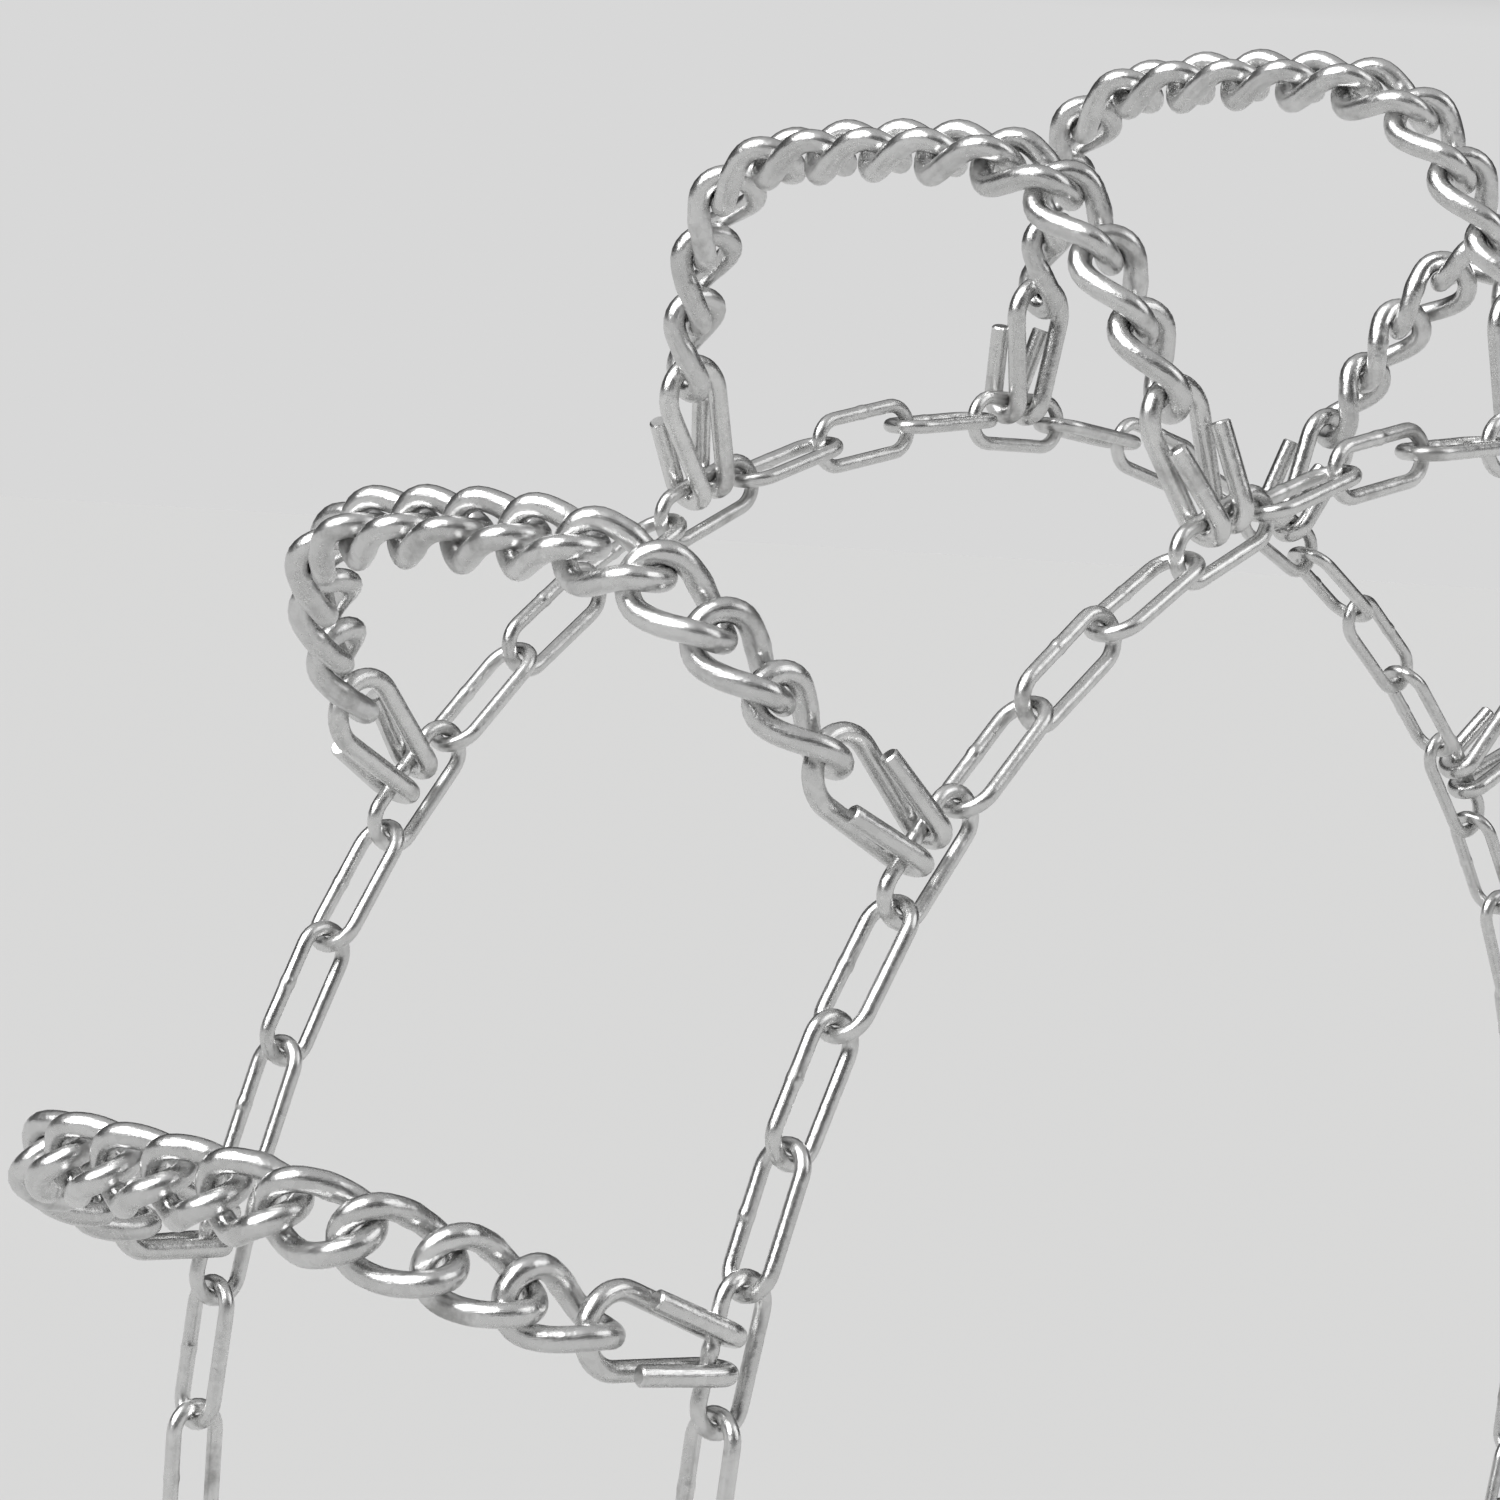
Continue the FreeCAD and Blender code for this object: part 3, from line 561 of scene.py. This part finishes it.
def rivet_form(sides):
    """A rivet along Z with domed heads, its middle at the origin."""
    grip = PLATE_GAP / 2 + PLATE_THICKNESS
    rim = RIVET_HEAD / 2
    dome = [(0.24, 1), (0.6, 0.92), (0.86, 0.68), (0.98, 0.36), (1, 0.12), (0.98, 0)]
    upper = [(rim * out, grip + RIVET_HEAD_HEIGHT * up) for out, up in dome]
    upper.append((RIVET_DIAMETER / 2, grip))
    profile = upper + [(radius, -height) for radius, height in upper[::-1]]
    points = np.array([(0, 0, height) for radius, height in profile])
    ways = np.repeat(np.array([[0, 0, -1.0]]), len(points), axis=0)
    references = np.repeat(np.array([[1.0, 0, 0]]), len(points), axis=0)
    radii = np.repeat(np.array([radius for radius, height in profile])[:, None], sides, axis=1)
    return wire_form(points, ways, references, radii, False, np.zeros(radii.shape))


# ---------------------------------------------------------------------------------------------
# Galvanised steel. Scales are in waves or cells per metre, and depths in metres.
# ---------------------------------------------------------------------------------------------

PATCH_SCALE = 55
STAIN_SCALE = 27
DENT_SCALE = 190
SPANGLE_SCALE = 330
GRAIN_SCALE = 1100
STREAK_SCALE = 2.4
STREAK_STRETCH = (0.05, 16, 1)
DENT_DEPTH = 0.0011
STREAK_DEPTH = 0.0003
GRAIN_DEPTH = 0.00015
GRAIN_STRENGTH = 0.12
RUBBED_COLOUR = (0.90, 0.90, 0.895)


def add_node(tree, kind, **inputs):
    """A shader node, with the sockets that stay the same all over set on it."""
    made = tree.nodes.new(kind)
    for name, value in inputs.items():
        made.inputs[name.replace("_", " ")].default_value = value
    return made


def blend_number(tree, factor, low, high):
    """Maps a factor from 0..1 to low..high."""
    made = add_node(tree, "ShaderNodeMapRange", To_Min=low, To_Max=high)
    tree.links.new(factor, made.inputs["Value"])
    return made.outputs["Result"]


def combine(tree, operation, first, second):
    """A Math node on two values, each a number or another node's output."""
    made = tree.nodes.new("ShaderNodeMath")
    made.operation = operation
    for socket, value in zip(made.inputs, (first, second)):
        if isinstance(value, (int, float)):
            socket.default_value = value
        else:
            tree.links.new(value, socket)
    return made.outputs[0]


def blend_colour(tree, factor, low, high):
    """Goes from one colour to another, either of which may be another node's colour."""
    made = tree.nodes.new("ShaderNodeMix")
    made.data_type = "RGBA"
    tree.links.new(factor, made.inputs["Factor"])
    for socket, value in ((made.inputs[6], low), (made.inputs[7], high)):
        if isinstance(value, tuple):
            socket.default_value = value + (1,)
        else:
            tree.links.new(value, socket)
    return made.outputs[2]


def noise(tree, vector, scale, detail, roughness=0.55):
    """Noise from 0 to 1 at a place given by another node."""
    made = add_node(tree, "ShaderNodeTexNoise", Scale=scale, Detail=detail, Roughness=roughness)
    tree.links.new(vector, made.inputs["Vector"])
    return made.outputs["Fac"]


def window(tree, value, start, end):
    """0 below start, 1 above end, smooth between."""
    made = add_node(tree, "ShaderNodeMapRange", From_Min=start, From_Max=end)
    made.interpolation_type = "SMOOTHSTEP"
    tree.links.new(value, made.inputs["Value"])
    return made.outputs["Result"]


def bumped(tree, height, distance, strength, under=None):
    """A surface roughened by a height, over an earlier relief where there is one."""
    made = add_node(tree, "ShaderNodeBump", Distance=distance, Strength=strength)
    tree.links.new(height, made.inputs["Height"])
    if under is not None:
        tree.links.new(under, made.inputs["Normal"])
    return made.outputs["Normal"]


def scaled(tree, value, factor):
    """Another node's output times a number."""
    return combine(tree, "MULTIPLY", value, factor)


def mesh_value(tree, name):
    """A value that the piece's mesh holds for each vertex."""
    made = tree.nodes.new("ShaderNodeAttribute")
    made.attribute_name = name
    return made.outputs["Fac"]


def galvanised(name, dull, bright, soil, smooth, rough, streaks, dents):
    """Zinc on steel: crystal spangle, drawing streaks, dull patches, polish where links rub.

    dull, bright and soil are colours, smooth and rough the ends of the roughness, and streaks
    and dents the strengths of the relief.
    """
    material = bpy.data.materials.new(name)
    material.use_nodes = True
    tree = material.node_tree
    tree.nodes.clear()
    place = tree.nodes.new("ShaderNodeTexCoord").outputs["Object"]
    patches = noise(tree, place, PATCH_SCALE, 4)
    grain = noise(tree, place, GRAIN_SCALE, 3)
    dent = noise(tree, place, DENT_SCALE, 2)
    stain = noise(tree, place, STAIN_SCALE, 6, 0.65)
    crystal = add_node(tree, "ShaderNodeTexVoronoi", Scale=SPANGLE_SCALE)
    tree.links.new(place, crystal.inputs["Vector"])
    spangle = tree.nodes.new("ShaderNodeSeparateColor")
    tree.links.new(crystal.outputs["Color"], spangle.inputs["Color"])
    along = tree.nodes.new("ShaderNodeUVMap")
    along.uv_map = "Wire"
    stretch = add_node(tree, "ShaderNodeMapping", Scale=STREAK_STRETCH)
    tree.links.new(along.outputs["UV"], stretch.inputs["Vector"])
    streak = noise(tree, stretch.outputs["Vector"], STREAK_SCALE, 3)
    tone = mesh_value(tree, "tone")
    rubbed = combine(tree, "MULTIPLY", mesh_value(tree, "rubbed"), window(tree, dent, 0.25, 0.6))
    soiled = window(tree, stain, 0.56, 0.72)
    lighter = combine(tree, "ADD", scaled(tree, patches, 0.55), scaled(tree, tone, 0.25))
    lighter = combine(tree, "ADD", lighter, scaled(tree, spangle.outputs[0], 0.2))
    colour = blend_colour(tree, lighter, dull, bright)
    colour = blend_colour(tree, scaled(tree, soiled, 0.6), colour, soil)
    colour = blend_colour(tree, scaled(tree, rubbed, 0.8), colour, RUBBED_COLOUR)
    dullness = combine(tree, "ADD", scaled(tree, patches, 0.5), scaled(tree, grain, 0.5))
    dullness = combine(tree, "ADD", dullness, scaled(tree, soiled, 0.5))
    dullness = combine(tree, "SUBTRACT", dullness, scaled(tree, rubbed, 0.45))
    relief = bumped(tree, dent, DENT_DEPTH, dents)
    relief = bumped(tree, streak, STREAK_DEPTH, streaks, relief)
    relief = bumped(tree, grain, GRAIN_DEPTH, GRAIN_STRENGTH, relief)
    shader = add_node(tree, "ShaderNodeBsdfPrincipled", Metallic=1.0)
    tree.links.new(colour, shader.inputs["Base Color"])
    tree.links.new(blend_number(tree, dullness, smooth, rough), shader.inputs["Roughness"])
    tree.links.new(relief, shader.inputs["Normal"])
    output = tree.nodes.new("ShaderNodeOutputMaterial")
    tree.links.new(shader.outputs["BSDF"], output.inputs["Surface"])
    return material


# ---------------------------------------------------------------------------------------------
# Pieces, one for each CAD node
# ---------------------------------------------------------------------------------------------

def steel_piece(node, body, material, copies):
    """One piece for a node: copies of forms at their places, each with a tone of its own."""
    vertices = []
    faces = []
    corners = []
    rubs = []
    tones = []
    count = 0
    for form, place in copies:
        shape, form_faces, form_corners, rubbed = form
        matrix = np.array(place)
        vertices.append(shape @ matrix[:3, :3].T + matrix[:3, 3])
        faces += [tuple(corner + count for corner in face) for face in form_faces]
        corners += form_corners
        rubs.append(rubbed)
        tones.append(np.full(len(shape), luck.random()))
        count += len(shape)
    mesh = bpy.data.meshes.new(node + "_steel")
    mesh.from_pydata(np.concatenate(vertices) * MM, [], faces)
    mesh.polygons.foreach_set("use_smooth", [True] * len(faces))
    wire_map = mesh.uv_layers.new(name="Wire")
    wire_map.data.foreach_set("uv", np.array(corners, np.float32).reshape(-1))
    for name, values in (("rubbed", rubs), ("tone", tones)):
        layer = mesh.attributes.new(name, "FLOAT", "POINT")
        layer.data.foreach_set("value", np.concatenate(values).astype(np.float32))
    mesh.set_sharp_from_angle(angle=math.radians(42))
    mesh.materials.append(material)
    piece = bpy.data.objects.new(node + "_steel", mesh)
    bpy.context.scene.collection.objects.link(piece)
    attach(piece, body)
    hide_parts(node)
    return piece


def settled(place, roll, yaw):
    """A link's place with a small seeded turn about its own length and about its flat side."""
    return place @ turned(luck.uniform(-roll, roll), "X") @ turned(luck.uniform(-yaw, yaw), "Z")


side_steel = galvanised(
    "side_chain_steel",
    dull=(0.52, 0.52, 0.517), bright=(0.84, 0.84, 0.835), soil=(0.22, 0.217, 0.21),
    smooth=0.17, rough=0.40, streaks=0.25, dents=0.2)
cross_steel = galvanised(
    "cross_chain_steel",
    dull=(0.50, 0.50, 0.498), bright=(0.82, 0.82, 0.817), soil=(0.20, 0.197, 0.19),
    smooth=0.17, rough=0.40, streaks=0.3, dents=0.28)
hook_steel = galvanised(
    "hook_steel",
    dull=(0.54, 0.54, 0.537), bright=(0.86, 0.86, 0.855), soil=(0.23, 0.227, 0.22),
    smooth=0.15, rough=0.38, streaks=0.4, dents=0.25)
fastener_steel = galvanised(
    "fastener_steel",
    dull=(0.46, 0.46, 0.457), bright=(0.76, 0.76, 0.755), soil=(0.19, 0.186, 0.18),
    smooth=0.2, rough=0.45, streaks=0.4, dents=0.4)

VARIANTS = 4
WIRE_SIDES = 16
side_length = SIDE_PITCH + SIDE_PLAY
side_forms = [
    oval_form(SIDE_WIRE, SIDE_WIDTH, side_length, sides=14, bow_steps=14, leg_steps=6, weld=0.11)
    for number in range(VARIANTS)]
cross_forms = [
    twisted_form(WIRE_SIDES, bow_steps=16, leg_steps=3, weld=0.09) for number in range(VARIANTS)]
hook_forms = [hook_form(WIRE_SIDES) for number in range(VARIANTS)]
ring_form = oval_form(
    RING_WIRE, RING_WIDTH, RING_LENGTH, sides=WIRE_SIDES, bow_steps=18, leg_steps=4, weld=0.08)
closing_form = closing_hook_form(WIRE_SIDES)

FLAT_ROLL = math.radians(1)
STANDING_ROLL = math.radians(4)
SIDE_YAW = math.radians(0.6)
CROSS_ROLL = math.radians(3)
CROSS_YAW = math.radians(1.2)


def side_copies(section, numbers, y):
    """A section's links of one side chain."""
    copies = []
    for number in numbers:
        roll = FLAT_ROLL if number % 2 == 0 else STANDING_ROLL
        place = settled(side_link_place(number, y), roll, SIDE_YAW)
        copies.append((luck.choice(side_forms), turned(section * SECTION_ANGLE, "Y") @ place))
    return copies


for section in range(SECTIONS):
    body = f"section_{section:02d}"
    outer_numbers = list(range(PITCHES))
    inner_numbers = list(range(PITCHES))
    section_turn = turned(section * SECTION_ANGLE, "Y")
    extra_outer = []
    extra_inner = []
    if section == FASTENER_SECTION:
        outer_numbers = [0, 1]
        inner_numbers = [0, 1, 2]
        extra_inner = [(closing_form, section_turn @ closing_hook_place())]
    if section == FASTENER_SECTION + 1:
        outer_numbers = outer_numbers + [-1]
        extra_outer = [(ring_form, section_turn @ ring_place())]
    outer = side_copies(section, outer_numbers, SIDE_Y) + extra_outer
    inner = side_copies(section, inner_numbers, -SIDE_Y) + extra_inner
    steel_piece(f"outer_side_links_{section:02d}", body, side_steel, outer)
    steel_piece(f"inner_side_links_{section:02d}", body, side_steel, inner)
    hooks = [(luck.choice(hook_forms), section_turn @ hook_place(side)) for side in (1, -1)]
    steel_piece(f"cross_hooks_{section:02d}", body, hook_steel, hooks)
    chain_place = cross_chain_place(section)
    links = [
        (luck.choice(cross_forms), chain_place @ settled(place, CROSS_ROLL, CROSS_YAW))
        for place in cross_link_places()]
    chain_body = f"cross_chain_{section:02d}"
    steel_piece(chain_body, chain_body, cross_steel, links)

fastener_turn = turned(FASTENER_SECTION * SECTION_ANGLE, "Y")
lever_x = FIRST_RIVET_X + RIVET_SPAN
plate_z = (PLATE_GAP + PLATE_THICKNESS) / 2
plate = plate_form()
rivet = rivet_form(20)
plate_copies = [
    (plate, fastener_turn @ fastener_place(FIRST_RIVET_X, 0, PLATE_LIFT + z))
    for z in (plate_z, -plate_z)]
rivet_copies = [
    (rivet, fastener_turn @ fastener_place(x, 0, PLATE_LIFT))
    for x in (FIRST_RIVET_X, lever_x)]
lever_copies = [(lever_form(), fastener_turn @ fastener_place(lever_x, 0, PLATE_LIFT))]
fastener_body = f"section_{FASTENER_SECTION:02d}"
steel_piece("fastener_plates", fastener_body, fastener_steel, plate_copies)
steel_piece("fastener_rivets", fastener_body, fastener_steel, rivet_copies)
steel_piece("fastener_lever", "lever", fastener_steel, lever_copies)


# ---------------------------------------------------------------------------------------------
# Floor, light and camera
# ---------------------------------------------------------------------------------------------

FLOOR_COLOUR = (0.60, 0.60, 0.597)
FLOOR_RADIUS = 60
# Brightness by the height of the direction looked in, from level (0) to straight up (1)
SKY = ((0.0, 0.687), (0.1, 0.687), (0.14, 0.04), (0.55, 0.04), (0.68, 0.42), (1.0, 0.55))
CAMERA_PLACE = Vector((-1.47161, -1.22697, 0.37170))
CAMERA_RIGHT = Vector((0.71514, -0.69621, 0.06211))
CAMERA_UP = Vector((-0.00416, 0.08462, 0.99640))
SENSOR_WIDTH = 36
FOCAL_LENGTH = 3.2354 * SENSOR_WIDTH


def make_floor():
    """A plain pale floor under the chain's lowest point."""
    height = cad_box[0][2]
    ring = [(x, y, height) for x, y in arc_points((0, 0), FLOOR_RADIUS, 0, 355, 71)]
    mesh = bpy.data.meshes.new("floor")
    mesh.from_pydata(ring, [], [tuple(range(len(ring)))])
    material = bpy.data.materials.new("floor")
    material.use_nodes = True
    shader = material.node_tree.nodes["Principled BSDF"]
    shader.inputs["Base Color"].default_value = FLOOR_COLOUR + (1,)
    shader.inputs["Roughness"].default_value = 0.9
    shader.inputs["Specular IOR Level"].default_value = 0.0
    mesh.materials.append(material)
    floor = bpy.data.objects.new("floor", mesh)
    bpy.context.scene.collection.objects.link(floor)


def make_world():
    """Soft studio surroundings: pale at the horizon, dim above it, and a broad pale ceiling."""
    world = bpy.data.worlds.new("studio")
    world.use_nodes = True
    bpy.context.scene.world = world
    tree = world.node_tree
    direction = tree.nodes.new("ShaderNodeTexCoord")
    split = tree.nodes.new("ShaderNodeSeparateXYZ")
    tree.links.new(direction.outputs["Generated"], split.inputs["Vector"])
    ramp = tree.nodes.new("ShaderNodeValToRGB")
    tree.links.new(split.outputs["Z"], ramp.inputs["Fac"])
    for element, (height, value) in zip(ramp.color_ramp.elements, (SKY[0], SKY[-1])):
        element.position = height
        element.color = (value, value, value, 1)
    for height, value in SKY[1:-1]:
        ramp.color_ramp.elements.new(height).color = (value, value, value, 1)
    tree.links.new(ramp.outputs["Color"], tree.nodes["Background"].inputs["Color"])


def make_sun(name, towards, strength, spread):
    """Soft light from one direction."""
    light = bpy.data.lights.new(name, "SUN")
    light.energy = strength
    light.angle = math.radians(spread)
    lamp = bpy.data.objects.new(name, light)
    lamp.rotation_euler = Vector(towards).to_track_quat("Z", "Y").to_euler()
    bpy.context.scene.collection.objects.link(lamp)


def make_camera():
    """The camera, out to the left of the outer side, on the chain's upper left quarter."""
    camera = bpy.data.cameras.new("camera")
    camera.sensor_width = SENSOR_WIDTH
    camera.lens = FOCAL_LENGTH
    camera.clip_start = 0.05
    camera.clip_end = 200
    holder = bpy.data.objects.new("camera", camera)
    back = CAMERA_RIGHT.cross(CAMERA_UP).normalized()
    up = back.cross(CAMERA_RIGHT).normalized()
    holder.matrix_world = framed(CAMERA_PLACE, CAMERA_RIGHT.normalized(), up, back)
    bpy.context.scene.collection.objects.link(holder)
    bpy.context.scene.camera = holder


make_floor()
make_world()
make_sun("key", towards=(-1, 0.1, 1), strength=3.3, spread=48)
make_sun("fill", towards=(0.6, -1, 0.8), strength=0.5, spread=40)
make_camera()
bpy.context.scene.view_settings.view_transform = "Standard"
